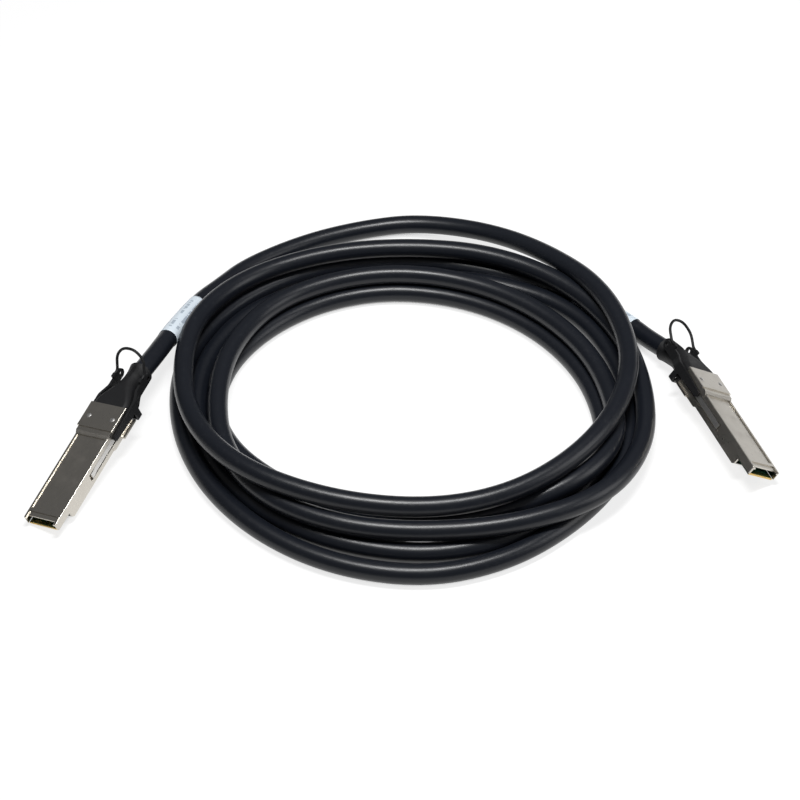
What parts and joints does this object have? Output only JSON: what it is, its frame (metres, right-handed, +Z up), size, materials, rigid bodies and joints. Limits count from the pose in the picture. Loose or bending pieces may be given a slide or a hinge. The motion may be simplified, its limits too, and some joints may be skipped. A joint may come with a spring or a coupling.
{
  "type": "direct attach copper cable",
  "caption": "Black copper network cable in a loose coil, with a metal pluggable plug, moulded boot and pull-loop release at each end.",
  "frame": {"origin": "bottom centre of the box around both plugs, on the surface that the part lies on", "axes": "+X from the left plug to the right plug, +Z up, -Y towards the side that both plugs point to"},
  "size_m": [0.3474, 0.2552, 0.0386],
  "materials": {
    "plug_metal": "nickel-plated die casting, satin",
    "bright_steel": "bright stainless steel",
    "board": "green solder mask",
    "contact_gold": "gold plating",
    "wire_insulation": "foil-wrapped pairs",
    "ferrule_metal": "tinned",
    "black_moulding": "matte moulded",
    "pull_cord": "matte cord",
    "cable_jacket": "satin extruded jacket",
    "label_paper": "glossy film"
  },
  "bodies": {
    "cable_assembly": {"upper_shell_a": "plug_metal", "lower_shell_a": "plug_metal", "shell_pins_a": "bright_steel", "paddle_card_a": "board", "contact_pads_a": "contact_gold", "twinax_pairs_a": "wire_insulation", "crimp_ferrule_a": "ferrule_metal", "boot_a": "black_moulding", "return_springs_a": "bright_steel", "cable_lead_a": "cable_jacket", "cable_label_a": "label_paper", "upper_shell_b": "plug_metal", "lower_shell_b": "plug_metal", "shell_pins_b": "bright_steel", "paddle_card_b": "board", "contact_pads_b": "contact_gold", "twinax_pairs_b": "wire_insulation", "crimp_ferrule_b": "ferrule_metal", "boot_b": "black_moulding", "return_springs_b": "bright_steel", "cable_lead_b": "cable_jacket", "cable_label_b": "label_paper", "cable_coil": "cable_jacket"},
    "latch_a": {"release_yoke_a": "black_moulding", "release_arms_a": "bright_steel", "pull_loop_a": "pull_cord"},
    "latch_b": {"release_yoke_b": "black_moulding", "release_arms_b": "bright_steel", "pull_loop_b": "pull_cord"}
  },
  "joints": [
    {"name": "release_slide_a", "type": "slide", "parent": "cable_assembly", "child": "latch_a", "axis": [0.4019, 0.8901, 0.2147], "range_m": [0, 0.0032], "stiffness_N_per_m": 400, "springref_m": -0.0015, "deforming": ["return_springs_a"]},
    {"name": "release_slide_b", "type": "slide", "parent": "cable_assembly", "child": "latch_b", "axis": [-0.3467, 0.9371, 0.0401], "range_m": [0, 0.0032], "stiffness_N_per_m": 400, "springref_m": -0.0015, "deforming": ["return_springs_b"]}
  ]
}
